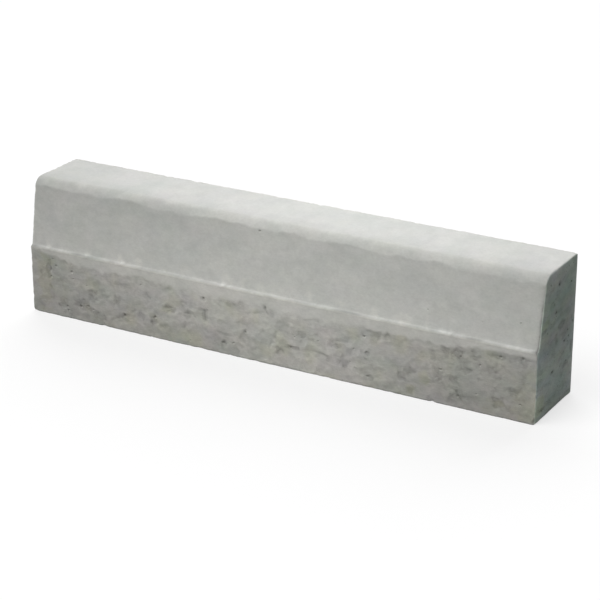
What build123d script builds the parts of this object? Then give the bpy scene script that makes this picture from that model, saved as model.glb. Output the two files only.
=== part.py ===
from build123d import *
import os

# A precast concrete kerb stone, cast as one piece.
#
# The stone stands as it is laid: its length runs along X, the road lies towards -Y
# and the pavement towards +Y. The origin is the middle of the bed, so the stone
# stands on Z = 0. All sizes are in millimetres.

# Overall size
LENGTH = 1000.0
WIDTH = 150.0
HEIGHT = 250.0

# Front: an upright plinth that stays below the road surface, a narrow sloping
# ledge above it, and the face that shows, which leans back to the top
PLINTH_HEIGHT = 125.0
LEDGE_DEPTH = 4.5
LEDGE_RISE = 4.0
BATTER_SETBACK = 19.5

# Edges: the rounded nose between face and top, the eased long edges, the round
# at the foot of the leaning face, and the eased outline of both ends
NOSE_RADIUS = 20.0
LONG_EDGE_RADIUS = 3.0
LEDGE_ROOT_RADIUS = 3.0
END_EDGE_RADIUS = 2.0

# Places that follow from the sizes
FRONT = -WIDTH / 2
BACK = WIDTH / 2
LEDGE_BACK = FRONT + LEDGE_DEPTH
LEDGE_TOP = PLINTH_HEIGHT + LEDGE_RISE
TOP_FRONT = LEDGE_BACK + BATTER_SETBACK


def cross_section():
    """The upright section, seen from the end, with a round at each of its corners."""
    corners = [
        ((FRONT, 0), LONG_EDGE_RADIUS),
        ((FRONT, PLINTH_HEIGHT), LONG_EDGE_RADIUS),
        ((LEDGE_BACK, LEDGE_TOP), LEDGE_ROOT_RADIUS),
        ((TOP_FRONT, HEIGHT), NOSE_RADIUS),
        ((BACK, HEIGHT), LONG_EDGE_RADIUS),
        ((BACK, 0), LONG_EDGE_RADIUS),
    ]
    places = [place for place, radius in corners]
    radii = [radius for place, radius in corners]
    return Plane.YZ * make_face(FilletPolyline(places, radius=radii, close=True))


def kerb_stone():
    """The section drawn out to the stone's length, with the outline of each end eased."""
    stone = extrude(cross_section(), amount=LENGTH / 2, both=True)
    ends = stone.faces().filter_by(Axis.X)
    return fillet(ends.edges(), END_EDGE_RADIUS)


os.makedirs("parts", exist_ok=True)
stone = kerb_stone()
stone.label = "kerb_stone"
export_step(stone, "parts/kerb_stone.step")
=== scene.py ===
"""Looks of a precast concrete kerb stone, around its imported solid.

The stone is one dense mesh that follows the solid's section. It adds what the casting left on the
surface: pores, open patches, folds, creases, the skin of slurry below the ledge, a wavy edge under the
nose, and worn and chipped arrises. Lengths are in metres, in the solid's frame, written as millimetres
times MM. The lists of marks, and the sizes and heights that go with them, are in plain millimetres.
"""

import math
from itertools import product

import bpy
import numpy as np
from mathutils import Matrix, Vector
from mathutils.geometry import delaunay_2d_cdt


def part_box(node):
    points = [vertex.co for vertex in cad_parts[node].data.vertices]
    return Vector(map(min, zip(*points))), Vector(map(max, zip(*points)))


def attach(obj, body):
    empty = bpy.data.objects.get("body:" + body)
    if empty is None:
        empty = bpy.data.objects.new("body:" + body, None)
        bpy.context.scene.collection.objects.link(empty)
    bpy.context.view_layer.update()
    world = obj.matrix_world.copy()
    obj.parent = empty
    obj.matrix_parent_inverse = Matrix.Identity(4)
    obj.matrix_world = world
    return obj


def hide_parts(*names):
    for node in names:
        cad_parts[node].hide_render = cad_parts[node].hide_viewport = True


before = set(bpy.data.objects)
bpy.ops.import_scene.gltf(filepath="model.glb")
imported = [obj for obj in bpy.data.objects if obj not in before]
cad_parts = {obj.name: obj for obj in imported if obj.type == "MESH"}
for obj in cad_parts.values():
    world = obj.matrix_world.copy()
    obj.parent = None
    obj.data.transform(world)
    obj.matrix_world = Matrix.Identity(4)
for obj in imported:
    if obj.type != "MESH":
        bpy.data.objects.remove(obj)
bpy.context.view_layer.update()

MM = 0.001

# The solid's box, and the sizes of its section
LOW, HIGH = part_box("kerb_stone")
HALF_LENGTH = (HIGH.x - LOW.x) / 2
HEIGHT = HIGH.z
PLINTH_HEIGHT = 125 * MM
LEDGE_DEPTH = 4.5 * MM
LEDGE_RISE = 4 * MM
BATTER_SETBACK = 19.5 * MM
NOSE_RADIUS = 20 * MM
EDGE_RADIUS = 3 * MM
END_RADIUS = 2 * MM
LEDGE_BACK = LOW.y + LEDGE_DEPTH
LEDGE_TOP = PLINTH_HEIGHT + LEDGE_RISE
TOP_FRONT = LEDGE_BACK + BATTER_SETBACK
STRAIGHT = HALF_LENGTH - END_RADIUS
END_ROUND = END_RADIUS * math.pi / 2

# Each corner of the section, from the middle of the bed up the front and over the top:
# the run that leads to it, the name of its round, its place (y, z) and its radius
CORNERS = [
    ("bed_front", "foot", (LOW.y, 0), EDGE_RADIUS),
    ("plinth", "lip", (LOW.y, PLINTH_HEIGHT), EDGE_RADIUS),
    ("ledge", "root", (LEDGE_BACK, LEDGE_TOP), EDGE_RADIUS),
    ("batter", "nose", (TOP_FRONT, HEIGHT), NOSE_RADIUS),
    ("top", "shoulder", (HIGH.y, HEIGHT), EDGE_RADIUS),
    ("back", "heel", (HIGH.y, 0), EDGE_RADIUS),
]
ARC_SAMPLE = 0.25 * MM

# Distance between the mesh's rows on each stretch of the section
SPACING = {
    "bed_front": 8 * MM, "foot": 1.2 * MM, "plinth": 2.4 * MM, "lip": 1 * MM, "ledge": 1.2 * MM,
    "root": 1 * MM, "batter": 3.6 * MM, "nose": 1.6 * MM, "top": 4.5 * MM, "shoulder": 1.2 * MM,
    "back": 5 * MM, "heel": 1.5 * MM, "bed_back": 8 * MM,
}
# Least distance between the points along a row, distance between those on the ends, steps round the eased
# edge of an end, and the distances from that edge of two more columns of points
CLOSEST_COLUMNS = 2.4 * MM
END_SPACING = 2.6 * MM
END_ROUND_STEPS = 3
END_MARGINS = (1.3 * MM, 2.8 * MM)

# Pores that stand out on the plinth: x, z, radius, and height for width
PLINTH_PORES = [
    (-456, 89, 2.6, 2.2), (-444, 97, 2.6, 1.0), (-451, 109, 2.2, 0.8), (-456, 75, 2.8, 1.0),
    (-410, 92, 3.2, 0.9), (-407, 79, 2.2, 0.9), (-378, 71, 2.2, 0.8), (-421, 15, 2.4, 1.0),
    (-393, 28, 3.2, 1.0), (-376, 32, 2.8, 0.9), (-365, 27, 2.4, 0.8), (-297, 31, 2.8, 1.0),
    (-231, 41, 2.6, 1.4), (-130, 97, 3.4, 0.7), (-90, 21, 3.2, 1.1), (-45, 50, 2.4, 1.2),
    (-4, 103, 2.2, 1.8), (45, 41, 2.6, 0.6), (99, 64, 2.0, 1.0), (187, 91, 2.8, 1.0),
    (192, 64, 2.6, 1.0), (195, 19, 2.4, 1.0), (330, 62, 2.2, 1.0), (361, 21, 2.6, 1.0),
    (365, 92, 2.4, 0.9), (435, 107, 3.6, 0.5), (475, 111, 2.4, 1.2),
]
# Pores in the smooth face (x, z, radius) and in the right end (y, z, radius)
BATTER_PORES = [(-27, 233, 2.2), (464, 168, 1.6), (299, 159, 1.5), (397, 157, 1.4)]
END_PORES = [(2, 219, 2.8), (-5, 173, 2.4), (-12, 70, 2.8), (51, 112, 2.4), (34, 109, 2.8), (-50, 16, 2)]

# How many more pores are strewn over each stretch, and over each end
STREWN = {"plinth": 24, "back": 70, "bed_front": 16, "bed_back": 16}
STREWN_ON_END = 14

# Strewn pores: the smallest radius, how much more the largest has, and least and most height for width
SMALLEST_PORE = 1.1
PORE_RANGE = 1.6
PORE_TALL = (0.6, 1.5)

# Depth for radius of a pore that stands out, of one that stands out on the plinth, and of a strewn one
PORE_DEPTH = 0.9
PLINTH_PORE_DEPTH = 0.6
STREWN_PORE_DEPTH = 0.8

# Seeds of what is strewn over the skin, over the ends and along the arrises
SKIN_SEED = 11
END_SEED = 12
CHIP_SEED = 13

# Soft patches where the concrete is more open: x or y, z, half width and half height
PLINTH_PATCHES = [
    (-460, 88, 7, 16), (-434, 26, 15, 8), (-385, 29, 21, 9), (-367, 52, 10, 11), (-350, 18, 12, 6),
    (-347, 110, 6, 7), (-313, 52, 7, 14), (-300, 26, 14, 9), (-260, 38, 9, 7), (-245, 78, 6, 5),
    (-235, 38, 8, 13), (-207, 60, 15, 6), (-200, 102, 9, 4), (-170, 35, 6, 9), (-163, 58, 11, 8),
    (-130, 96, 9, 5), (-127, 62, 5, 15), (-90, 20, 8, 8), (-75, 99, 28, 7), (-65, 13, 7, 6),
    (-47, 48, 5, 9), (-5, 104, 5, 11), (7, 95, 9, 9), (23, 30, 8, 7), (47, 40, 12, 5),
    (67, 67, 11, 6), (133, 63, 15, 5), (150, 35, 9, 11), (192, 62, 9, 6), (195, 17, 7, 6),
    (207, 100, 15, 7), (230, 98, 6, 13), (257, 33, 7, 7), (273, 47, 9, 7), (275, 13, 9, 9),
    (315, 83, 9, 11), (325, 53, 11, 11), (338, 98, 7, 12), (353, 48, 9, 8), (357, 18, 15, 11),
    (360, 93, 13, 10), (377, 70, 11, 5), (388, 97, 9, 9), (423, 84, 15, 13), (430, 105, 13, 6),
    (435, 28, 15, 9), (457, 52, 11, 9), (477, 105, 9, 10),
]
END_PATCHES = [
    (-55, 155, 10, 5), (-45, 18, 12, 4), (-12, 70, 8, 4), (-5, 173, 9, 4), (0, 125, 12, 8), (2, 220, 8, 5),
    (20, 143, 12, 9), (23, 85, 12, 7), (37, 108, 11, 5), (42, 67, 8, 5), (62, 142, 7, 5), (63, 87, 6, 11),
]

# Thin creases in the plinth: the places x, z along each
PLINTH_CREASES = [
    [(-322, 41), (-314, 55)], [(-326, 17), (-304, 25), (-294, 31)], [(-282, 39), (-274, 44)],
    [(-242, 38), (-227, 41)], [(-240, 37), (-239, 21)], [(-214, 62), (-194, 66)], [(-174, 33), (-154, 45)],
    [(-170, 61), (-152, 63)], [(-128, 75), (-127, 57)], [(-100, 39), (-80, 37)], [(-26, 89), (-8, 96)],
    [(-7, 103), (0, 93)], [(2, 31), (6, 41)], [(14, 51), (17, 63)], [(16, 25), (26, 33)],
    [(60, 38), (84, 43), (92, 44), (114, 39)], [(74, 96), (88, 101), (98, 100)], [(78, 69), (98, 74)],
    [(102, 89), (114, 94)], [(122, 70), (142, 73), (164, 75)], [(304, 33), (320, 38), (330, 45)],
    [(358, 29), (368, 15)], [(376, 72), (386, 73)], [(430, 15), (438, 19)],
]

# Olive stains on the plinth and on the right end: x or y, z, half width and half height
PLINTH_STAINS = [
    (-470, 75, 18, 60), (-210, 60, 16, 9), (275, 13, 10, 8), (300, 40, 12, 10), (430, 24, 14, 8),
    (488, 25, 30, 50),
]
END_STAINS = [(-58, 18, 22, 28), (-45, 168, 16, 12)]

# Splashes of slurry on the foot of the smooth face, and lumps of it on the ledge: x, z and half sizes
SPLASHES = [
    (-463, 135, 8, 8), (-377, 135, 7, 7), (-308, 135, 5, 9), (-267, 135, 9, 8), (-170, 136, 12, 10),
    (-83, 139, 14, 9), (-53, 138, 7, 8), (-17, 136, 11, 9), (52, 184, 6, 3), (78, 140, 7, 10),
    (140, 138, 10, 7), (203, 134, 7, 8), (257, 135, 16, 9), (300, 138, 3, 13), (463, 136, 6, 10),
]
NIBS = [
    (-462, 129, 6, 4), (-376, 129, 7, 4), (-300, 129, 5, 4), (-90, 129, 5, 4), (330, 129, 9, 4),
    (344, 129, 6, 4),
]

# Stretches of the ledge with a brighter painted highlight, and gaps in it: x, z and half sizes
LEDGE_HIGHLIGHTS = [
    (-450, 129, 40, 8), (-290, 129, 25, 8), (-60, 129, 60, 8), (25, 129, 28, 8), (105, 129, 26, 8),
    (342, 129, 25, 8), (447, 129, 42, 8),
]
LEDGE_GAPS = [
    (-494, 128, 10, 8), (-400, 128, 12, 8), (154, 128, 24, 8), (385, 128, 16, 8), (498, 128, 9, 12),
]

# Breaks in the front arris of the right end that stand out: z, half length and depth.
# More are strewn along the arrises of both ends and along the long edges. On the arrises they are up to
# CHIP_WIDTH wide, the narrowest a share of that.
ARRIS_CHIPS = [(192, 9, 0.7), (168, 16, 0.9), (146, 10, 0.7), (127, 11, 2.4), (8, 7, 1.2), (2, 8, 1.6)]
STREWN_ON_ARRIS = 22
STREWN_ON_EDGE = {"foot": 16, "shoulder": 12, "heel": 26}
CHIP_WIDTH = 4.5 * MM
NARROWEST_CHIP = 0.6

# Strewn breaks, from least to most: half length and depth on the arrises, and on the long edges
ARRIS_CHIP_LENGTH = (3, 9)
ARRIS_CHIP_DEPTH = (0.2, 0.6)
EDGE_CHIP_LENGTH = (3, 11)
EDGE_CHIP_DEPTH = (0.3, 1.0)

# Unevenness of the cast surface as layers of noise: size of lump, height and seed.
# NOSE_EDGE and LEDGE_GLINTS change along the stone's length only. The lumps of the others are drawn out
# across the stone, and those of the folds and the nose along it too.
ACROSS = 1.8
FACE_WAVES = [(90, 0.3, 33), (28, 0.16, 34)]
CORE_LUMPS = [(22, 0.5, 39), (10, 0.5, 40), (6, 0.2, 46)]
SKIN_WAVES = [(20, 0.2, 45)]
LEDGE_NICKS = [(45, 0.5, 48), (16, 0.5, 37), (6, 0.35, 38)]
SLURRY_EDGE = [(60, 5, 21), (24, 4.5, 22), (9, 4, 24)]
# LEDGE_GLINTS is no relief: it makes the ledge's painted highlight stronger and weaker along the stone
LEDGE_GLINTS = [(60, 0.8, 51), (22, 0.6, 54), (8, 0.4, 57)]
PATCH_EDGE = [(24, 0.6, 47), (8, 0.9, 58)]
NOSE_EDGE = [(110, 7, 35), (42, 7, 36), (15, 2.5, 49)]
NOSE_LUMPS = [(24, 0.9, 55), (11, 0.5, 56)]
NOSE_STRETCH = 2.5
FOLD_LINES = [(26, 1, 31)]
FOLD_STRETCH = 1.8
FAINT_PATCHES = [(17, 1, 52), (7, 0.5, 64)]

# Heights and depths of the relief
SKIN_THICKNESS = 0.35
LEDGE_FILL = 0.45
FOOT_FILL = 0.9
NIB_HEIGHT = 1.2
FOLD_HEIGHT = 0.9
PATCH_DEPTH = 0.7
CREASE_DEPTH = 0.7
NOSE_CUT = 0.7
ARRIS_WEAR = 1.0
BED_DEPTH = 1.0

# Half width of a crease
CREASE_WIDTH = 3.2

# How far the slurry reaches below the lip, half the width of its soft edge, and how much more of each
# there is about the middle
SKIN_REACH = 17.5
SKIN_EDGE = 2.5
SKIN_REACH_MORE = 6
SKIN_EDGE_MORE = 8

# Painted shade on each kind of surface, as if the light fell off towards the ends: its lightest place along
# the stone, and the share it darkens at the end that is furthest from there. The last share is how much
# darker the long sides are along their foot.
FACE_FALLOFF = (60 * MM, 0.175)
SLURRY_FALLOFF = (40 * MM, 0.22)
CORE_FALLOFF = (0, 0.33)
FOOT_DARKENING = 0.09

# The left end as a share of the right one: how light it is, painted light included, how pale its arris is
# with its wear and painted highlight, and how green it is
LEFT_TONE = 0.72
LEFT_ARRIS = 0.1
LEFT_GREEN = 0.4

# By what share marks lighten or darken the concrete. Painted light lightens the lumps and the folds, and
# painted shade darkens the dips of the lumps, the creases and the open patches. Worn and broken arrises are
# paler, with a painted highlight along their edge. The ledge has a painted highlight with gaps in it.
LUMP_PAINTED_LIGHT = 0.06
FOLD_HIGHLIGHT = 0.05
SPLASH_LIGHT = 0.04
NIB_LIGHT = 0.12
WEAR_AND_HIGHLIGHT = 0.18
CREASE_SHADE = 0.16
OPEN_SHADE = 0.18
OPEN_SHADE_MORE_ON_END = 0.07
LEDGE_LIGHTER = 0.13
LEDGE_DARKER = 0.16


def unit(vector):
    return vector / np.linalg.norm(vector)


def left_of(direction):
    """The outward side of the section, which is drawn with the stone on its right."""
    return np.array([-direction[1], direction[0]])


def trace_section():
    """Rows of distance, y, z, outward y and outward z along the section, and where each stretch starts."""
    middle = np.zeros(2)
    places = [middle] + [np.array(place) for run, bend, place, radius in CORNERS] + [middle]
    rows = [(0.0, *middle, *left_of(unit(places[1] - middle)))]
    starts = {}
    here = middle
    travelled = 0.0
    for index, (run, bend, place, radius) in enumerate(CORNERS):
        coming = unit(places[index + 1] - places[index])
        going = unit(places[index + 2] - places[index + 1])
        turn = math.atan2(coming[0] * going[1] - coming[1] * going[0], coming @ going)
        outward = -math.copysign(1, turn)
        begin = places[index + 1] - coming * radius * math.tan(abs(turn) / 2)
        starts[run] = travelled
        travelled += np.linalg.norm(begin - here)
        rows.append((travelled, *begin, *left_of(coming)))
        starts[bend] = travelled
        centre = begin - outward * radius * left_of(coming)
        steps = math.ceil(radius * abs(turn) / ARC_SAMPLE)
        for step in range(1, steps + 1):
            angle = turn * step / steps
            heading = math.cos(angle) * coming + math.sin(angle) * left_of(coming)
            here = centre + outward * radius * left_of(heading)
            rows.append((travelled + radius * abs(angle), *here, *left_of(heading)))
        travelled += radius * abs(turn)
    starts["bed_back"] = travelled
    travelled += np.linalg.norm(middle - here)
    rows.append((travelled, *middle, *rows[0][3:]))
    return np.array(rows), starts, travelled


SECTION, STARTS, PERIMETER = trace_section()
ENDS = dict(zip(STARTS, list(STARTS.values())[1:] + [PERIMETER]))


def along_front(z):
    """Distance along the section to a height on its front."""
    front = (SECTION[:, 0] >= STARTS["plinth"]) & (SECTION[:, 0] <= STARTS["top"])
    return np.interp(z, SECTION[front, 2], SECTION[front, 0])


def on_section(u, inset=0.0):
    """Places (y, z) and outward directions at distances u along the section, moved inwards."""
    y, z, out_y, out_z = (np.interp(u, SECTION[:, 0], SECTION[:, k]) for k in range(1, 5))
    return np.stack([y - inset * out_y, z - inset * out_z], axis=-1), np.stack([out_y, out_z], axis=-1)


def on_skin(v, u):
    """Points and outward normals of the swept skin, at a length v and a distance u along the section.

    Past the straight length, v goes on round the eased edge of the end."""
    turn = np.clip(np.abs(v) - STRAIGHT, 0, None) / END_RADIUS
    x = np.sign(v) * (np.minimum(np.abs(v), STRAIGHT) + END_RADIUS * np.sin(turn))
    places, outward = on_section(u, END_RADIUS * (1 - np.cos(turn)))
    points = np.column_stack([x, places])
    normals = np.column_stack([np.sign(v) * np.sin(turn), outward * np.cos(turn)[:, None]])
    return points, normals / np.linalg.norm(normals, axis=1, keepdims=True)


def ramp(value, low, high):
    """Goes smoothly from 0 at low to 1 at high."""
    share = np.clip((value - low) / (high - low), 0, 1)
    return share * share * (3 - 2 * share)


def noise(points, cell, seed):
    """Smooth noise, mostly within -1 to 1, with lumps about a cell of so many millimetres wide."""
    tables = np.random.default_rng(seed)
    order = tables.permutation(256)
    slopes = tables.normal(size=(256, 3))
    slopes /= np.linalg.norm(slopes, axis=1, keepdims=True)
    place = points / (cell * MM)
    low = np.floor(place).astype(int)
    inside = place - low
    fade = inside ** 3 * (inside * (inside * 6 - 15) + 10)
    total = np.zeros(len(points))
    for corner in product((0, 1), repeat=3):
        key = (low + corner) % 256
        pick = order[(order[(order[key[:, 0]] + key[:, 1]) % 256] + key[:, 2]) % 256]
        weight = np.prod(np.where(corner, fade, 1 - fade), axis=1)
        total += weight * np.einsum("ij,ij->i", slopes[pick], inside - corner)
    return 1.5 * total


class Pore:
    """A hole in the surface: its place and radii on a flat patch, and its depth.

    Rings of points about its middle make its mesh. Each has its distance out, where 1 is the pore's edge,
    and its number of points. The rim is the last ring."""

    rim = 1.5
    ring_points = ((0.45, 6), (0.8, 9), (1.1, 12), (rim, 14))

    def __init__(self, place, radius, tall=1.0, deep=PORE_DEPTH):
        self.place = np.array(place)
        self.radii = np.array([radius, radius * tall])
        self.depth = deep * radius

    def reach(self, flat):
        """Distance of flat points from the middle, where 1 is the pore's edge."""
        return np.linalg.norm((flat - self.place) / self.radii, axis=1)

    def clear_of(self, other):
        gap = np.linalg.norm(self.place - other.place)
        return gap > Pore.rim * (max(self.radii) + max(other.radii))

    def rings(self):
        """Flat points for the pore's floor, wall and rim."""
        found = [self.place]
        for share, count in self.ring_points:
            for angle in np.arange(count) * 2 * math.pi / count:
                found.append(self.place + self.radii * share * np.array([math.cos(angle), math.sin(angle)]))
        return np.array(found)


def apart(pores):
    """Drops each pore that would run into one before it."""
    kept = []
    for pore in pores:
        if all(pore.clear_of(other) for other in kept):
            kept.append(pore)
    return kept


def strewn(count, low, high, rng):
    """Pores at random in a flat rectangle, most of them small."""
    found = []
    for place in rng.uniform(low, high, (count, 2)):
        radius = (SMALLEST_PORE + PORE_RANGE * rng.random() ** 3) * MM
        found.append(Pore(place, radius, rng.uniform(*PORE_TALL), STREWN_PORE_DEPTH))
    return found


def skin_pores():
    """The pores of the swept skin: those that stand out, and more at random."""
    rng = np.random.default_rng(SKIN_SEED)
    found = [
        Pore((x * MM, along_front(z * MM)), r * MM, tall, PLINTH_PORE_DEPTH)
        for x, z, r, tall in PLINTH_PORES
    ]
    found += [Pore((x * MM, along_front(z * MM)), r * MM) for x, z, r in BATTER_PORES]
    clear = 6 * MM
    for stretch, count in STREWN.items():
        low = (-STRAIGHT + clear, STARTS[stretch] + clear)
        high = (STRAIGHT - clear, ENDS[stretch] - clear)
        found += strewn(count, low, high, rng)
    return apart(found)


def end_pores(side):
    """The pores of an end: those that stand out on the right one, and more at random on both."""
    rng = np.random.default_rng(END_SEED + side)
    stand_out = END_PORES if side > 0 else []
    found = [Pore((y * MM, z * MM), r * MM) for y, z, r in stand_out]
    clear = 8 * MM
    found += strewn(STREWN_ON_END, (TOP_FRONT + clear, clear), (HIGH.y - clear, HEIGHT - clear), rng)
    return apart(found)


def with_pores(lattice, pores):
    """A flat lattice whose points make way for the rings of the pores."""
    for pore in pores:
        lattice = lattice[pore.reach(lattice) > Pore.rim]
    return np.concatenate([lattice] + [pore.rings() for pore in pores])


def within(ring, spots):
    """Whether each flat spot lies within a ring of flat points."""
    inside = np.zeros(len(spots), bool)
    for start, end in zip(ring, np.roll(ring, -1, axis=0)):
        passes = (start[1] > spots[:, 1]) != (end[1] > spots[:, 1])
        crossing = start[0] + (spots[passes, 1] - start[1]) / (end[1] - start[1]) * (end[0] - start[0])
        inside[passes] ^= spots[passes, 0] < crossing
    return inside


def triangles(flat, outline=0):
    """Delaunay triangles over flat points, out to their hull.

    Where the first points are an outline, only the triangles within it are kept."""
    ring = [list(range(outline))[::-1]] if outline else []
    out_to_hull = 0
    same_within = 1e-9
    made = delaunay_2d_cdt([Vector(point) for point in flat], [], ring, out_to_hull, same_within, True)
    found, origins = made[2:4]
    source = np.array([ids[0] for ids in origins])
    faces = source[np.array(found)]
    return faces[within(flat[:outline], flat[faces].mean(axis=1))] if outline else faces


def rows_of_section():
    """Distances along the section of the mesh's rows, and the gap between the points of each."""
    rows = []
    for stretch, start in STARTS.items():
        count = max(1, round((ENDS[stretch] - start) / SPACING[stretch]))
        levels = np.linspace(start, ENDS[stretch], count, endpoint=False)
        rows += [(level, max(SPACING[stretch], CLOSEST_COLUMNS)) for level in levels]
    return rows


def row(columns, level):
    """Flat points at one level."""
    return np.stack([columns, np.full(len(columns), level)], axis=1)


def column(v, levels):
    """Flat points at one length along the stone."""
    return np.stack([np.full(len(levels), v), levels], axis=1)


def skin_layout(pores):
    """Flat points (v, u) of the skin, the point that stands for each, and the rings at the two ends.

    The last row lies on the first one, where the skin closes under the stone. Every other row starts half
    a gap further along."""
    rows = rows_of_section()
    levels = np.array([level for level, gap in rows] + [PERIMETER])
    margin = STRAIGHT - max(END_MARGINS)
    lattice = []
    for number, (level, gap) in enumerate(rows[1:]):
        start = gap * (0.6 + 0.5 * (number % 2))
        lattice.append(row(np.arange(-margin + start, margin - 0.5 * gap, gap), level))
    lattice = with_pores(np.concatenate(lattice), pores)
    seam_gap = rows[0][1]
    seam = np.arange(-margin + seam_gap, margin - 0.5 * seam_gap, seam_gap)
    outer = STRAIGHT + np.linspace(0, END_ROUND, END_ROUND_STEPS + 1)
    outer = np.concatenate([STRAIGHT - np.array(END_MARGINS[::-1]), outer])
    parts = [lattice, row(seam, 0), row(seam, PERIMETER)]
    parts += [column(v, levels) for v in np.concatenate([-outer[::-1], outer])]
    first = np.cumsum([0] + [len(part) for part in parts])
    stands_for = np.arange(first[-1])
    stands_for[first[2]:first[3]] = stands_for[first[1]:first[2]]
    stands_for[first[4:] - 1] = stands_for[first[3:-1]]
    left = np.arange(first[3], first[4] - 1)
    right = np.arange(first[-2], first[-1] - 1)
    return np.concatenate(parts), stands_for, left, right


def end_layout(ring, pores):
    """Flat points (y, z) of an end: its outline, then a lattice inside it."""
    step = END_SPACING * math.sqrt(3) / 2
    lattice = []
    for number, z in enumerate(np.arange(step, HEIGHT, step)):
        lattice.append(row(np.arange(LOW.y + 0.5 * END_SPACING * (number % 2), HIGH.y, END_SPACING), z))
    lattice = np.concatenate(lattice)
    offset = lattice[:, None, :] - ring[None, :, :]
    nearest = np.argmin(np.einsum("ijk,ijk->ij", offset, offset), axis=1)
    levels = np.array([level for level, gap in rows_of_section()])
    outward = on_section(levels)[1][nearest]
    depth = -np.einsum("ij,ij->i", lattice - ring[nearest], outward)
    return np.concatenate([ring, with_pores(lattice[depth > 0.5 * END_SPACING], pores)])


class Surface:
    """The stone's points before any relief, with all that the relief and the tones need to know.

    These are the way out, the distance around the section, the distance from the nearer end's arris, and
    the depth and shade of pores. How far a point belongs to an end goes from 0 to 1."""

    def __init__(self, points, normals, around, from_arris, pore_depth, pore_shade):
        self.points = points
        self.normals = normals
        self.around = around
        self.from_arris = from_arris
        self.pore_depth = pore_depth
        self.pore_shade = pore_shade
        self.end = np.abs(normals[:, 0])
        self.x, self.y, self.z = points.T

    @classmethod
    def joined(cls, parts):
        names = ("points", "normals", "around", "from_arris", "pore_depth", "pore_shade")
        return cls(*(np.concatenate([getattr(part, name) for part in parts]) for name in names))

    def on(self, first, last, soft=1 * MM):
        """How far each point lies on the section between two of its stretches, and off the ends."""
        begun = ramp(self.around, STARTS[first] - soft, STARTS[first] + soft)
        over = ramp(self.around, ENDS[last] - soft, ENDS[last] + soft)
        return begun * (1 - over) * (1 - ramp(self.end, 0.6, 1))

    def near(self, stretch, width):
        """Falls from 1 in the middle of a stretch to 0 at a distance along the section."""
        middle = (STARTS[stretch] + ENDS[stretch]) / 2
        return ramp(-np.abs(self.around - middle), -width, 0) * (1 - self.end)

    def layers(self, table, drawn_out=1):
        """Layers of noise, with lumps that are drawn out along the stone by so many times."""
        points = self.points / [drawn_out, ACROSS, 1]
        return sum(height * noise(points, cell, seed) for cell, height, seed in table)

    def noise(self, cell, seed):
        return self.layers([(cell, 1, seed)])

    def layers_along(self, table):
        """Layers of noise that change along the stone's length only."""
        line = self.points * [1, 0, 0]
        return sum(height * noise(line + 0.5 * cell * MM, cell, seed) for cell, height, seed in table)

    def spots(self, places, across, ragged):
        """Soft spots with ragged edges about places: two coordinates and two half sizes, in millimetres."""
        full_to = 0.5
        gone_at = 1.3
        total = np.zeros(len(self.x))
        for middle, z, half_width, half_height in places:
            sideways = (across - middle * MM) / (half_width * MM)
            upwards = (self.z - z * MM) / (half_height * MM)
            reach = np.hypot(sideways, upwards) + ragged
            total = np.maximum(total, ramp(-reach, -gone_at, -full_to))
        return total

    def strokes(self, lines, half_width):
        """Soft strokes along lines of places x, z. All are in millimetres."""
        spots = np.stack([self.x, self.z], axis=1) / MM
        nearest = np.full(len(spots), np.inf)
        for line in lines:
            for start, end in zip(line, line[1:]):
                run = np.subtract(end, start)
                share = np.clip((spots - start) @ run / (run @ run), 0, 1)
                gap = np.linalg.norm(spots - start - share[:, None] * run, axis=1)
                nearest = np.minimum(nearest, gap)
        return ramp(-nearest, -half_width, 0)

    def less_on_left(self, share):
        """1 on the right half of the stone, and a smaller share on the left half."""
        return np.where(self.x > 0, 1, share)


def hollow(flat, points, pores):
    """Depth and shade of the pores at each point of a flat patch, with ragged edges."""
    ragged = 1 + 0.35 * noise(points, 4, 41)
    floor_to = 0.3
    wall_to = 1.1
    dark_to = 1.2
    depth = np.zeros(len(flat))
    shade = np.zeros(len(flat))
    for pore in pores:
        reach = pore.reach(flat) * ragged
        depth = np.maximum(depth, pore.depth * ramp(-reach, -wall_to, -floor_to))
        shade = np.maximum(shade, ramp(-reach, -dark_to, -floor_to))
    return depth, shade


def slurry_skin(surface):
    """Where a skin of slurry ran down over the plinth from the ledge, to a ragged edge.

    It thins out towards the ends, and about the middle it runs further and fades out softly."""
    thin_left = np.clip((surface.x + HALF_LENGTH) / (85 * MM), 0.2, 1)
    thin_right = np.clip((HALF_LENGTH - surface.x) / (160 * MM), 0.55, 1)
    soft_about = -30 * MM
    fades = ramp(-np.abs(surface.x - soft_about), -260 * MM, -140 * MM)
    reach = SKIN_REACH + SKIN_REACH_MORE * fades + surface.layers(SLURRY_EDGE)
    edge = PLINTH_HEIGHT - thin_left * thin_right * reach * MM
    soft = (SKIN_EDGE + SKIN_EDGE_MORE * fades) * MM
    return surface.on("plinth", "lip") * ramp(surface.z, edge - soft, edge + soft)


def open_patches(surface):
    """Where the concrete is more open: the patches that stand out, and fainter ones at random."""
    ragged = surface.layers(PATCH_EDGE)
    front = surface.on("plinth", "plinth") * surface.spots(PLINTH_PATCHES, surface.x, ragged)
    right = surface.end * (surface.x > 0) * surface.spots(END_PATCHES, surface.y, ragged)
    anywhere = 0.5 * ramp(surface.layers(FAINT_PATCHES), 0.1, 0.6)
    return np.maximum(np.maximum(front, right), anywhere)


def creases(surface):
    """Thin creases in the plinth, stronger and weaker along their length."""
    strength = 0.95 + 0.4 * surface.noise(12, 65)
    return strength * surface.strokes(PLINTH_CREASES, CREASE_WIDTH) * surface.on("plinth", "plinth")


def folds(surface):
    """Thin raised folds along the plinth, most of them right of its middle.

    They follow the lines where a noise passes 0."""
    crest_width = 0.28
    crest = ramp(-np.abs(surface.layers(FOLD_LINES, FOLD_STRETCH)), -crest_width, 0)
    crest *= ramp(surface.noise(24, 59), -0.1, 0.3)
    most_at = 90 * MM
    spread = 260 * MM
    share = surface.noise(70, 32) + ramp(-np.abs(surface.x - most_at), -spread, 0)
    return crest * ramp(share, 0, 0.7) * surface.on("plinth", "plinth")


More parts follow.
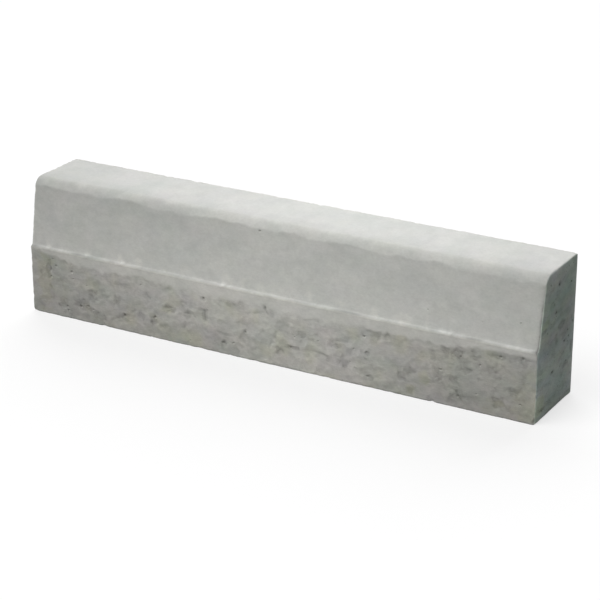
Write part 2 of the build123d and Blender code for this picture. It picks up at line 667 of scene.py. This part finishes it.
def nose_strike(surface):
    """How far the nose stands out from its round, in millimetres.

    The batter runs on straight to a wavy edge. Above that edge the nose is cut a little flatter."""
    past = (surface.around - STARTS["nose"]) / MM
    usual_edge = 3.5
    lowest_edge = 0.5
    edge = np.maximum(usual_edge + surface.layers_along(NOSE_EDGE), lowest_edge)
    runs_out = 34
    share = np.clip((past - edge) / (runs_out - edge), 0, 1)
    straight = np.clip(past, 0, edge) ** 2 / (2 * NOSE_RADIUS / MM)
    # The most that share * (1 - share) ** 2 comes to
    deepest = 4 / 27
    lumps = surface.on("nose", "nose", 7 * MM) * surface.layers(NOSE_LUMPS, NOSE_STRETCH)
    return (1 - share) ** 2 * (straight - NOSE_CUT * share / deepest) * (1 - surface.end) + lumps


class Chip:
    """A break in an arris: its middle, the way that it goes in, its radii and its depth."""

    def __init__(self, v, u, radii, depth):
        points, normals = on_skin(np.array([v]), np.array([u]))
        self.middle = points[0]
        self.inward = -normals[0]
        self.radii = np.array(radii)
        self.depth = depth

    def share(self, points):
        """How far the break takes in each point."""
        return ramp(-np.linalg.norm((points - self.middle) / self.radii, axis=1), -1, -0.25)


def chips():
    """The breaks in the stone's arrises: those that stand out, and more at random."""
    rng = np.random.default_rng(CHIP_SEED)
    arris = STRAIGHT + END_ROUND / 2
    found = []
    for z, half_length, depth in ARRIS_CHIPS:
        radii = (CHIP_WIDTH, half_length * MM, half_length * MM)
        found.append(Chip(arris, along_front(z * MM), radii, depth * MM))
    for side in (-1, 1):
        for u in rng.uniform(STARTS["foot"], STARTS["back"], STREWN_ON_ARRIS):
            half_length = rng.uniform(*ARRIS_CHIP_LENGTH) * MM
            radii = (rng.uniform(NARROWEST_CHIP, 1) * CHIP_WIDTH, half_length, half_length)
            found.append(Chip(side * arris, u, radii, rng.uniform(*ARRIS_CHIP_DEPTH) * MM))
    for edge, count in STREWN_ON_EDGE.items():
        middle = (STARTS[edge] + ENDS[edge]) / 2
        for v in rng.uniform(-STRAIGHT, STRAIGHT, count):
            radii = (rng.uniform(*EDGE_CHIP_LENGTH) * MM, CHIP_WIDTH, CHIP_WIDTH)
            found.append(Chip(v, middle, radii, rng.uniform(*EDGE_CHIP_DEPTH) * MM))
    return found


class Finish:
    """How far each kind of cast surface, and each mark on it, covers each point.

    It also has how far the breaks move each point. The right end's arris is worn, apart from its back, and
    the left one's hardly is."""

    def __init__(self, surface):
        self.facing = surface.on("ledge", "top")
        self.skin = slurry_skin(surface)
        self.bed = surface.on("bed_front", "bed_front") + surface.on("bed_back", "bed_back")
        self.core = np.clip(1 - self.facing - self.skin - self.bed, 0, 1)
        self.open = self.core * open_patches(surface)
        self.folds = self.core * folds(surface)
        self.creases = creases(surface)
        ragged = 0.6 * surface.noise(7, 53)
        self.splashes = surface.on("ledge", "batter") * surface.spots(SPLASHES, surface.x, ragged)
        self.nibs = surface.on("lip", "batter") * surface.spots(NIBS, surface.x, 0)
        worn_width = 8 * MM
        self.worn = np.clip(1 - surface.from_arris / worn_width, 0, 1) ** 2
        least_worn = 0.2
        most_worn = ramp(-surface.y, -65 * MM, -45 * MM) * (surface.x > 0)
        self.worn *= least_worn + (1 - least_worn) * most_worn
        self.broken = np.zeros(len(surface.x))
        self.chipped_by = np.zeros_like(surface.points)
        for chip in chips():
            share = chip.share(surface.points)
            self.broken = np.maximum(self.broken, share)
            self.chipped_by += share[:, None] * chip.depth * chip.inward


def relief(surface, finish):
    """How far the cast surface stands out from the solid, in millimetres, apart from pores and chips."""
    height = finish.facing * surface.layers(FACE_WAVES)
    height += nose_strike(surface)
    height += surface.near("ledge", 4 * MM) * (LEDGE_FILL + surface.layers(LEDGE_NICKS))
    height += FOOT_FILL * surface.near("foot", 3.5 * MM)
    height += NIB_HEIGHT * finish.nibs
    height += finish.skin * (SKIN_THICKNESS + surface.layers(SKIN_WAVES))
    calm_arris = 1 - 0.6 * ramp(-surface.from_arris, -14 * MM, 0)
    calm_end = 1 - 0.5 * surface.end
    height += calm_arris * calm_end * finish.core * surface.layers(CORE_LUMPS)
    height += FOLD_HEIGHT * finish.folds
    height -= PATCH_DEPTH * finish.open * calm_end
    height -= CREASE_DEPTH * finish.creases
    wear = 0.6 + 0.4 * surface.noise(24, 62) + 1.4 * surface.on("batter", "batter", 10 * MM)
    height -= ARRIS_WEAR * finish.worn * wear
    height -= BED_DEPTH * finish.bed * ramp(surface.noise(14, 44), -0.4, 0.6)
    return height


def shaped(surface, finish):
    """The stone's points with relief, pores and chips, none of them below the floor."""
    out = relief(surface, finish) * MM - surface.pore_depth
    points = surface.points + surface.normals * out[:, None] + finish.chipped_by
    points[:, 2] = np.maximum(points[:, 2], 0)
    return points


def light_falloff(x, brightest_at, falloff_share):
    """Painted shade, as if the light fell off towards the ends.

    It falls from 1 at one place along the stone by a share at the furthest end.
    """
    return 1 - falloff_share * (np.abs(x - brightest_at) / (HALF_LENGTH + abs(brightest_at))) ** 1.6


def face_painted_shade(surface):
    """Painted shade on the smooth face.

    It is a little darker up the batter, about the upper edge of the nose and towards the ends.
    """
    rise = (surface.z - LEDGE_TOP) / (HEIGHT - LEDGE_TOP)
    past = np.abs(surface.around - ENDS["nose"])
    # Painted shade up the batter and about the upper edge of the nose
    painted_shade = 0.06 * ramp(rise, 0, 0.8) + 0.08 * ramp(-past, -40 * MM, 0)
    return light_falloff(surface.x, *FACE_FALLOFF) * (1.03 - painted_shade)


def foot_darkening(surface):
    """How much darker the long sides are along their foot: most between the ends and a lighter place."""
    lighter_at = 100 * MM
    darker = ramp(np.abs(surface.x - lighter_at), 0, 200 * MM)
    darker *= ramp(HALF_LENGTH - np.abs(surface.x), 0, 150 * MM)
    return darker * ramp(-surface.z, -70 * MM, -10 * MM)


def core_tone(surface):
    """The open core: a little lighter up the plinth, darker along its foot, painted shade towards the ends.

    Painted light makes the ends lighter at their foot and front. The left end is duller than the right."""
    up = np.clip(surface.z / PLINTH_HEIGHT, 0, 1)
    side = light_falloff(surface.x, *CORE_FALLOFF) * (1.035 + 0.08 * up)
    side *= 1 - FOOT_DARKENING * foot_darkening(surface)
    # Painted light on the ends: lighter at their foot and towards their front
    foot = ramp(-surface.z, -150 * MM, -30 * MM)
    front = ramp(-surface.y, 0, 75 * MM)
    end = 1.06 + 0.28 * foot + (0.06 + 0.14 * foot) * front
    end *= surface.less_on_left(LEFT_TONE)
    return side + (end - side) * surface.end


def ledge_painted_light(surface):
    """Painted light on the ledge.

    Painted shade dulls it about its lip, and a painted highlight runs along it, broken in places.
    """
    lights = LEDGE_LIGHTER * surface.spots(LEDGE_HIGHLIGHTS, surface.x, 0)
    lights -= LEDGE_DARKER * surface.spots(LEDGE_GAPS, surface.x, 0)
    glints = lights + 0.11 * ramp(surface.layers_along(LEDGE_GLINTS), -0.2, 0.4) - 0.09
    ledge_shade = 0.13 * surface.near("lip", 4 * MM) + 0.06 * surface.near("ledge", 3 * MM)
    return 1 - ledge_shade + glints * surface.near("ledge", 4.5 * MM)


def tone(surface, finish):
    """How light each point is for its material, with painted light and shade.

    Open patches and creases are darker with painted shade; worn arrises are paler, with a painted
    highlight.
    """
    # The slurry, like the face and the core, has painted shade towards the ends, as if the light fell off
    # there
    level = finish.facing * face_painted_shade(surface) + finish.skin * light_falloff(surface.x, *SLURRY_FALLOFF)
    level += (1 - finish.facing - finish.skin) * core_tone(surface)
    # Painted light and shade on the ledge, and painted light on the lumps of the core with painted shade in
    # their dips
    level *= ledge_painted_light(surface) * (1 + LUMP_PAINTED_LIGHT * surface.layers(CORE_LUMPS) * finish.core)
    # Painted shade in the open patches, more on the ends, and in the creases, and a painted highlight on
    # the folds
    open_shade = OPEN_SHADE + OPEN_SHADE_MORE_ON_END * surface.end
    level *= 1 - open_shade * finish.open - CREASE_SHADE * finish.creases + FOLD_HIGHLIGHT * finish.folds
    # Paler near the arrises: wear over 30 mm and a painted highlight within 6 mm of the edge. Breaks are
    # paler too.
    arris_wear_and_highlight = 0.8 * ramp(-surface.from_arris, -30 * MM, 0) + 0.6 * ramp(-surface.from_arris, -6 * MM, 0)
    arris_wear_and_highlight *= surface.less_on_left(LEFT_ARRIS)
    worn = np.maximum(arris_wear_and_highlight * finish.core, finish.broken)
    return level * (1 + SPLASH_LIGHT * finish.splashes + NIB_LIGHT * finish.nibs + WEAR_AND_HIGHLIGHT * worn)


def stain(surface, finish):
    """How olive each point is: in placed and random patches on the core, and faintly all up the batter."""
    ragged = 0.8 * surface.noise(14, 63)
    front = surface.on("plinth", "lip") * surface.spots(PLINTH_STAINS, surface.x, ragged)
    right = surface.end * (surface.x > 0) * surface.spots(END_STAINS, surface.y, ragged)
    patches = 0.5 * ramp(surface.noise(30, 61), 0, 0.7)
    core = finish.core * np.maximum(patches, np.maximum(0.6 * front, right))
    return core + 0.15 * surface.on("ledge", "nose", 8 * MM)


def stone_surface():
    """The patches of the stone joined up: its surface, its triangles, and their places on the bake map."""
    pores = skin_pores()
    flat, stands_for, left, right = skin_layout(pores)
    points, normals = on_skin(flat[:, 0], flat[:, 1])
    from_arris = np.abs(np.abs(flat[:, 0]) - STRAIGHT - END_ROUND / 2)
    parts = [Surface(points, normals, flat[:, 1], from_arris, *hollow(flat, points, pores))]
    faces = triangles(flat)
    corners = [stands_for[faces]]
    places = [flat[faces] + [STRAIGHT + END_ROUND, 0]]
    gap = 5 * MM
    for number, (side, ring) in enumerate(((1, right), (-1, left))):
        pores = end_pores(side)
        flat = end_layout(points[ring, 1:], pores)
        faces = triangles(flat, len(ring))[:, ::side]
        inner = flat[len(ring):]
        before = sum(len(part.points) for part in parts)
        corners.append(np.concatenate([ring, before + np.arange(len(inner))])[faces])
        places.append(flat[faces][:, :, ::-1] + [number * (HEIGHT + gap), PERIMETER + gap - LOW.y])
        inner_points = np.column_stack([np.full(len(inner), side * HALF_LENGTH), inner])
        inner_normals = np.tile([side, 0.0, 0.0], (len(inner), 1))
        nowhere = np.zeros(len(inner))
        offset = inner[:, None, :] - flat[None, :len(ring), :]
        from_arris = END_ROUND / 2 + np.linalg.norm(offset, axis=2).min(axis=1)
        shape = (inner_points, inner_normals, nowhere, from_arris)
        parts.append(Surface(*shape, *hollow(inner, inner_points, pores)))
    return Surface.joined(parts), np.concatenate(corners), np.concatenate(places)


def stone_mesh():
    """The stone's mesh, with its relief, its tones as attributes, and its bake map."""
    surface, corners, places = stone_surface()
    finish = Finish(surface)
    used, corners = np.unique(corners, return_inverse=True)
    mesh = bpy.data.meshes.new("kerb_stone_cast")
    mesh.from_pydata(shaped(surface, finish)[used], [], corners.reshape(-1, 3).tolist())
    bake_map = mesh.uv_layers.new(name="OFBake")
    map_width = 2 * (STRAIGHT + END_ROUND) + 4 * MM
    bake_map.data.foreach_set("uv", (places / map_width).ravel())
    mesh.polygons.foreach_set("use_smooth", np.ones(len(mesh.polygons), bool))
    tones = {
        "facing": finish.facing,
        "slurry": np.maximum(finish.skin, 0.3 * finish.splashes),
        # Painted shade in the pores, paler off the ends
        "pore": surface.pore_shade * (0.7 + 0.3 * surface.end),
        "tone": tone(surface, finish),
        "end": surface.end * surface.less_on_left(LEFT_GREEN),
        "top": surface.on("top", "top", 20 * MM),
        "stain": stain(surface, finish),
        "open": finish.open,
    }
    for name, values in tones.items():
        mesh.attributes.new(name, "FLOAT", "POINT").data.foreach_set("value", values[used])
    return mesh


class Graph:
    """A material's nodes, added one at a time with their inputs given by name or number."""

    def __init__(self, owner):
        owner.use_nodes = True
        self.tree = owner.node_tree
        self.tree.nodes.clear()

    def add(self, kind, inputs=None, **settings):
        node = self.tree.nodes.new("ShaderNode" + kind)
        for name, value in settings.items():
            setattr(node, name, value)
        for name, value in (inputs or {}).items():
            if isinstance(value, bpy.types.NodeSocket):
                self.tree.links.new(value, node.inputs[name])
            else:
                node.inputs[name].default_value = value
        return node

    def attribute(self, name):
        return self.add("Attribute", attribute_name=name).outputs["Fac"]

    def math(self, operation, *values):
        return self.add("Math", dict(enumerate(values)), operation=operation).outputs[0]

    def blend(self, factor, first, second):
        """A number between two numbers."""
        return self.add("Mix", {0: factor, 2: first, 3: second}, data_type="FLOAT").outputs[0]

    def tint(self, factor, first, second, blend_type="MIX"):
        """A colour between two colours."""
        inputs = {0: factor, 6: first, 7: second}
        return self.add("Mix", inputs, data_type="RGBA", blend_type=blend_type).outputs[2]

    def lumps(self, place, scale, detail):
        inputs = {"Vector": place, "Scale": scale, "Detail": detail, "Roughness": 0.6}
        return self.add("TexNoise", inputs).outputs

    def swing(self, value, amount):
        """A factor about 1, from noise about a half."""
        return self.math("MULTIPLY_ADD", self.math("SUBTRACT", value, 0.5), amount, 1.0)


# Colours of the concrete: the core that shows on the plinth, back and bed, the same on the greener ends,
# the skin of slurry, the fine face above the ledge, the painted shade in a hole, and what a stain lets
# through
CORE_COLOUR = (0.497, 0.492, 0.456, 1)
END_COLOUR = (0.42, 0.468, 0.44, 1)
SLURRY_COLOUR = (0.62, 0.615, 0.574, 1)
FACE_COLOUR = (0.545, 0.55, 0.53, 1)
PORE_SHADE_COLOUR = (0.17, 0.17, 0.15, 1)
STAIN_COLOUR = (0.99, 0.995, 0.86, 1)

# Grain of the concrete: noise scale per metre, detail, and swing of its shade in the core, where smooth,
# and on the top. It is drawn out level with the floor.
WIDE_GRAIN = (24, 2, 0.35, 0.24, 0.22)
MIDDLE_GRAIN = (90, 4, 0.35, 0.31, 0.26)
FINE_GRAIN = (360, 3, 0.18, 0.14, 0.1)
GRAIN_SQUEEZE = (0.62, 0.5, 1)

# Swing of the hue in the core, where smooth and on the ends
CORE_HUE = 0.1
SMOOTH_HUE = 0.05
END_HUE = 0.28

# Pinholes: cells per metre, the largest for its cell, and how much smaller they are in the core and where
# smooth. Then how dark the painted shade in all holes is on the long sides and on the ends.
PINHOLE_SCALE = 170
LARGEST_PINHOLE = 0.24
PINHOLE_LESS = (0.1, 0.17)
SIDE_HOLE_SHADE = 0.4
END_HOLE_SHADE = 0.85

# Hair creases: noise scale per metre and detail, half width, and how dark their painted shade is
HAIR_GRAIN = (75, 2)
HAIR_WIDTH = 0.05
HAIR_SHADE = 0.42

# Depth of the grain, its strength in the core and where smooth, and the roughness of the two
BUMP_DEPTH = 0.8 * MM
BUMP_STRENGTH = (0.7, 0.25)
ROUGHNESS = (0.93, 0.85)
GLOSS = 0.25


def grained(graph, place, smooth):
    """The shade of the concrete with its grain, and the noise of each grain."""
    shade = graph.attribute("tone")
    top = graph.attribute("top")
    along = graph.add("VectorMath", {0: place, 1: GRAIN_SQUEEZE}, operation="MULTIPLY").outputs[0]
    grains = []
    for scale, detail, core_swing, smooth_swing, top_swing in (WIDE_GRAIN, MIDDLE_GRAIN, FINE_GRAIN):
        grain = graph.lumps(along, scale, detail)
        amount = graph.blend(top, graph.blend(smooth, core_swing, smooth_swing), top_swing)
        shade = graph.math("MULTIPLY", shade, graph.swing(grain["Fac"], amount))
        grains.append(grain)
    return shade, grains


def pinholes(graph, place, smooth):
    """Pinholes in some cells of the concrete, smaller and fewer where it is smooth."""
    cells = graph.add("TexVoronoi", {"Vector": place, "Scale": PINHOLE_SCALE}).outputs
    chance = graph.add("SeparateColor", {0: cells["Color"]}).outputs[0]
    size = graph.math("MULTIPLY", chance, LARGEST_PINHOLE)
    size = graph.math("SUBTRACT", size, graph.blend(smooth, *PINHOLE_LESS))
    return graph.math("LESS_THAN", cells["Distance"], size)


def hair_creases(graph, place):
    """Creases too fine for the mesh, in open patches, where a noise passes its middle."""
    wander = graph.math("ABSOLUTE", graph.math("SUBTRACT", graph.lumps(place, *HAIR_GRAIN)["Fac"], 0.5))
    inputs = {"Value": wander, 1: 0.0, 2: HAIR_WIDTH, 3: HAIR_SHADE, 4: 0.0}
    crease = graph.add("MapRange", inputs).outputs[0]
    return graph.math("MULTIPLY", crease, graph.attribute("open"))


def concrete():
    """Grey concrete, mottled and porous in the core and finer on the face."""
    material = bpy.data.materials.new("cast_concrete")
    graph = Graph(material)
    place = graph.add("TexCoord").outputs["Object"]
    end = graph.attribute("end")
    facing = graph.attribute("facing")
    slurry = graph.attribute("slurry")
    smooth = graph.math("MAXIMUM", facing, slurry)
    shade, (wide, middle, fine) = grained(graph, place, smooth)
    pinhole = pinholes(graph, place, smooth)
    crease = hair_creases(graph, place)

    colour = graph.tint(end, CORE_COLOUR, END_COLOUR)
    colour = graph.tint(facing, colour, FACE_COLOUR)
    colour = graph.tint(slurry, colour, SLURRY_COLOUR)
    colour = graph.add("VectorMath", {0: colour, "Scale": shade}, operation="SCALE").outputs[0]
    hue_swing = graph.blend(end, graph.blend(smooth, CORE_HUE, SMOOTH_HUE), END_HUE)
    colour = graph.tint(hue_swing, colour, wide["Color"], "SOFT_LIGHT")
    colour = graph.tint(graph.attribute("stain"), colour, STAIN_COLOUR, "MULTIPLY")
    # Painted shade in the pores, the pinholes and the hair creases, darker on the ends
    hole = graph.math("MAXIMUM", graph.math("MAXIMUM", graph.attribute("pore"), pinhole), crease)
    painted_shade = graph.math("MULTIPLY", hole, graph.blend(end, SIDE_HOLE_SHADE, END_HOLE_SHADE))
    colour = graph.tint(painted_shade, colour, PORE_SHADE_COLOUR)

    height = graph.math("ADD", middle["Fac"], graph.math("MULTIPLY", fine["Fac"], 0.6))
    height = graph.math("SUBTRACT", height, graph.math("ADD", pinhole, crease))
    strength = graph.blend(smooth, *BUMP_STRENGTH)
    bump = graph.add("Bump", {"Height": height, "Strength": strength, "Distance": BUMP_DEPTH})
    rough = graph.math("MULTIPLY", graph.swing(middle["Fac"], 0.3), graph.blend(smooth, *ROUGHNESS))
    shader = graph.add("BsdfPrincipled", {
        "Base Color": colour, "Roughness": rough, "Normal": bump.outputs[0], "Specular IOR Level": GLOSS,
    })
    graph.add("OutputMaterial", {"Surface": shader.outputs[0]})
    return material


def make_stone():
    """The stone's one piece, in place of the plain solid."""
    stone = bpy.data.objects.new("kerb_stone_cast", stone_mesh())
    bpy.context.scene.collection.objects.link(stone)
    stone.data.materials.append(concrete())
    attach(stone, "root")
    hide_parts("kerb_stone")


# The floor's size, its colour and how much it glows where seen
FLOOR_SIZE = 30
FLOOR_COLOUR = (0.26, 0.26, 0.26, 1)
FLOOR_GLOW = 0.68

# Each lamp: its name, the way to it, its level and its spread in degrees. Then the level of the light from
# all round, and white.
LAMPS = [
    ("front_high", (-0.25, -0.48, 0.84), 0.74, 50),
    ("front_low", (-0.5, -0.83, 0.25), 0.18, 60),
    ("behind", (-0.3, 0.72, 0.63), 0.85, 60),
]
SKY_LEVEL = 0.09
WHITE = (1, 1, 1, 1)


def seen_directly(graph):
    """1 for what the camera sees, straight or in gloss or glass, and 0 for light on the object."""
    path = graph.add("LightPath").outputs
    gloss_or_glass = graph.math("MAXIMUM", path["Is Glossy Ray"], path["Is Transmission Ray"])
    return graph.math("MAXIMUM", path["Is Camera Ray"], gloss_or_glass)


def make_floor():
    """A pale floor, seen as white, that keeps the stone's shadow."""
    corners = [(FLOOR_SIZE * x, FLOOR_SIZE * y, 0) for x, y in ((-1, -1), (1, -1), (1, 1), (-1, 1))]
    mesh = bpy.data.meshes.new("floor")
    mesh.from_pydata(corners, [], [(0, 1, 2, 3)])
    floor = bpy.data.objects.new("floor", mesh)
    bpy.context.scene.collection.objects.link(floor)
    material = bpy.data.materials.new("floor_white")
    graph = Graph(material)
    matt = graph.add("BsdfDiffuse", {"Color": FLOOR_COLOUR})
    glow = graph.math("MULTIPLY", seen_directly(graph), FLOOR_GLOW)
    white = graph.add("Emission", {"Color": WHITE, "Strength": glow})
    both = graph.add("AddShader", {0: matt.outputs[0], 1: white.outputs[0]})
    graph.add("OutputMaterial", {"Surface": both.outputs[0]})
    mesh.materials.append(material)


def make_lamp(name, towards, level, spread):
    """A wide soft lamp far off. At level 1 a white surface that faces it renders white."""
    lamp = bpy.data.lights.new(name, "SUN")
    lamp.energy = level * math.pi
    lamp.angle = math.radians(spread)
    holder = bpy.data.objects.new(name, lamp)
    holder.rotation_euler = Vector(towards).to_track_quat("Z", "Y").to_euler()
    bpy.context.scene.collection.objects.link(holder)


def make_light():
    """Soft lamps high in front, low in front and behind, and a low even light from all round."""
    for lamp in LAMPS:
        make_lamp(*lamp)
    world = bpy.data.worlds.new("studio")
    bpy.context.scene.world = world
    graph = Graph(world)
    level = graph.blend(seen_directly(graph), SKY_LEVEL, 1.0)
    sky = graph.add("Background", {"Color": WHITE, "Strength": level})
    graph.add("OutputWorld", {"Surface": sky.outputs[0]})


# The camera: where it looks, from which side and how far, and its lens and sensor in millimetres
AIM = Vector((20.82 * MM, 0, 97.22 * MM))
VIEW_AZIMUTH = math.radians(29.67)
VIEW_ELEVATION = math.radians(22)
VIEW_DISTANCE = 3.54547
LENS = 122.6
SENSOR_WIDTH = 36


def make_camera():
    """The camera: in front of the stone, to its right and above."""
    data = bpy.data.cameras.new("camera")
    data.lens = LENS
    data.sensor_width = SENSOR_WIDTH
    camera = bpy.data.objects.new("camera", data)
    bpy.context.scene.collection.objects.link(camera)
    level = math.cos(VIEW_ELEVATION)
    sideways = math.sin(VIEW_AZIMUTH) * level
    forwards = -math.cos(VIEW_AZIMUTH) * level
    towards = Vector((sideways, forwards, math.sin(VIEW_ELEVATION)))
    camera.location = AIM + towards * VIEW_DISTANCE
    camera.rotation_euler = towards.to_track_quat("Z", "Y").to_euler()
    bpy.context.scene.camera = camera


make_stone()
make_floor()
make_light()
make_camera()
bpy.context.scene.view_settings.view_transform = "Standard"
